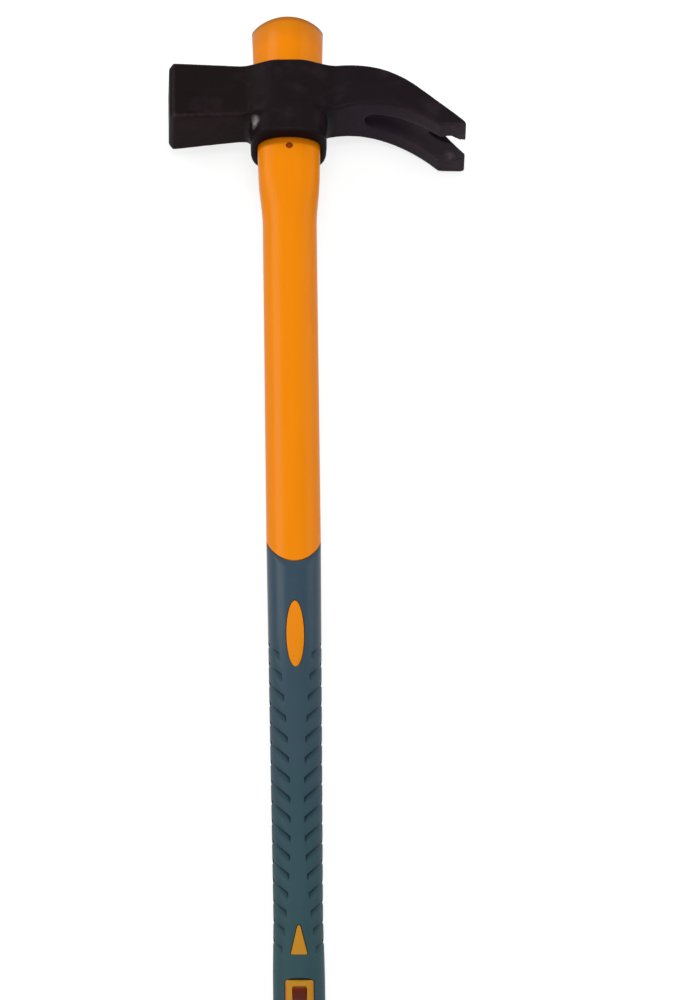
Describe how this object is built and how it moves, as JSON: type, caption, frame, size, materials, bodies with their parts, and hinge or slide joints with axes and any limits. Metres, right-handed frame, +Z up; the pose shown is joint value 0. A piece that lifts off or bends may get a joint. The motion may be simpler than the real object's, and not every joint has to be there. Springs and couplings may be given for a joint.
{
  "type": "formwork hammer",
  "caption": "Long-handled formwork hammer: black forged head with square poll and curved nail claw, on a flared orange fibreglass handle with a grooved grey rubber grip.",
  "frame": {"origin": "middle of the underside of the box round the hammer, lying flat on its side", "axes": "+Y along the handle from the butt to the head, +X along the head from the poll to the claw, +Z up from the surface that it lies on"},
  "size_m": [0.148, 0.6107, 0.045],
  "materials": {
    "black_steel": "black lacquered forging, satin, slightly uneven",
    "orange_plastic": "smooth moulded polypropylene, satin",
    "grey_rubber": "soft moulded rubber, fine matt grain",
    "raw_fibreglass": "sawn end of a pulled glass rod",
    "pin_steel": "plain steel"
  },
  "bodies": {
    "root": {"hammer_head": "black_steel", "handle_jacket": "orange_plastic", "fibreglass_core": "raw_fibreglass", "grip_sleeve": "grey_rubber", "retaining_pin": "pin_steel"}
  },
  "joints": []
}
